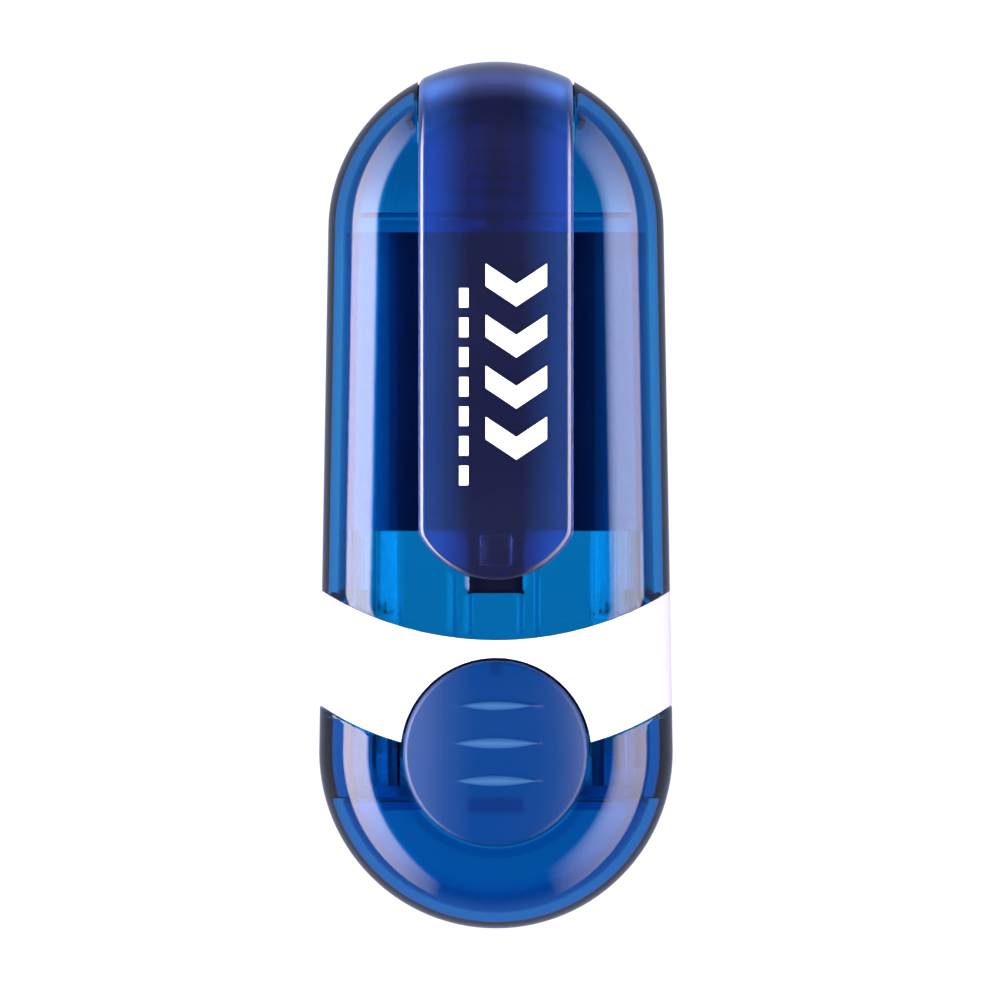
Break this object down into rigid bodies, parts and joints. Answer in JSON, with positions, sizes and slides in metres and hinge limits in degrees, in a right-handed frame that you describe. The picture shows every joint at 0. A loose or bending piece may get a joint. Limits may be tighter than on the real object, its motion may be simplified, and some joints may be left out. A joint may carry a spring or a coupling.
{
  "type": "pocket self-inking stamp",
  "caption": "Pocket self-inking stamp with a round text plate: bowed-edge white band, translucent blue shells, round release button, pocket clip and pull-off end cap.",
  "frame": {"origin": "centre of the bounding box's bottom, on the back face that the stamp lies on", "axes": "+Z out of the front, where the clip and the button are; +Y along the body towards the clip end; X across"},
  "size_m": [0.035, 0.0856, 0.0363],
  "materials": {
    "shell_blue": "polished, see-through",
    "band_white": "satin",
    "inner_navy": "satin moulded",
    "clip_navy": "polished, see-through",
    "button_blue": "satin, see-through",
    "guard_blue": "satin",
    "cassette_grey": "moulded",
    "carrier_grey": "moulded",
    "spring_steel": "drawn wire",
    "pin_steel": "ground",
    "foot_rubber": "soft matte",
    "plate_rubber": "laser-cut rubber",
    "foam_white": "foam",
    "ink_felt": "inked felt",
    "print_white": "pad print"
  },
  "bodies": {
    "handle": {"handle_shell": "shell_blue", "grip_band": "band_white", "yoke_sleeve": "inner_navy", "lock_plate": "shell_blue", "spring_post": "inner_navy", "return_spring": "spring_steel"},
    "frame": {"base_frame": "shell_blue", "frame_runners": "inner_navy", "foot_ring": "foot_rubber", "pad_housing": "inner_navy", "pad_cassette": "cassette_grey", "ink_pad": "ink_felt"},
    "carrier": {"plate_carrier": "carrier_grey", "axle_pins": "pin_steel", "foam_cushion": "foam_white", "text_plate": "plate_rubber"},
    "cap": {"end_cap": "shell_blue", "ink_guard": "guard_blue", "button_pin": "pin_steel", "button_spring": "spring_steel"},
    "button": {"button_disc": "button_blue", "latch_lever": "inner_navy"},
    "clip": {"pocket_clip": "clip_navy", "clip_mark": "print_white"}
  },
  "joints": [
    {"name": "frame_slide", "type": "slide", "parent": "handle", "child": "frame", "axis": [0, -1, 0], "range_m": [0, 0.036], "deforming": ["return_spring"]},
    {"name": "plate_turn", "type": "hinge", "parent": "handle", "child": "carrier", "pos_m": [0, -0.0248, 0.0165], "axis": [1, 0, 0], "range_deg": [0, 180]},
    {"name": "cap_pull", "type": "slide", "parent": "frame", "child": "cap", "axis": [0, -1, 0], "range_m": [0, 0.045]},
    {"name": "button_press", "type": "hinge", "parent": "cap", "child": "button", "pos_m": [0, -0.0309, 0.0313], "axis": [-1, 0, 0], "range_deg": [0, 3.5], "stiffness_Nm_per_rad": 0.4, "deforming": ["button_spring"]},
    {"name": "clip_flex", "type": "hinge", "parent": "handle", "child": "clip", "pos_m": [0, 0.0403, 0.0209], "axis": [-1, 0, 0], "range_deg": [0, 5], "stiffness_Nm_per_rad": 1.5}
  ],
  "couplings": [
    {"joint": "plate_turn", "follows": "frame_slide", "rad_per_m": 87.26}
  ]
}
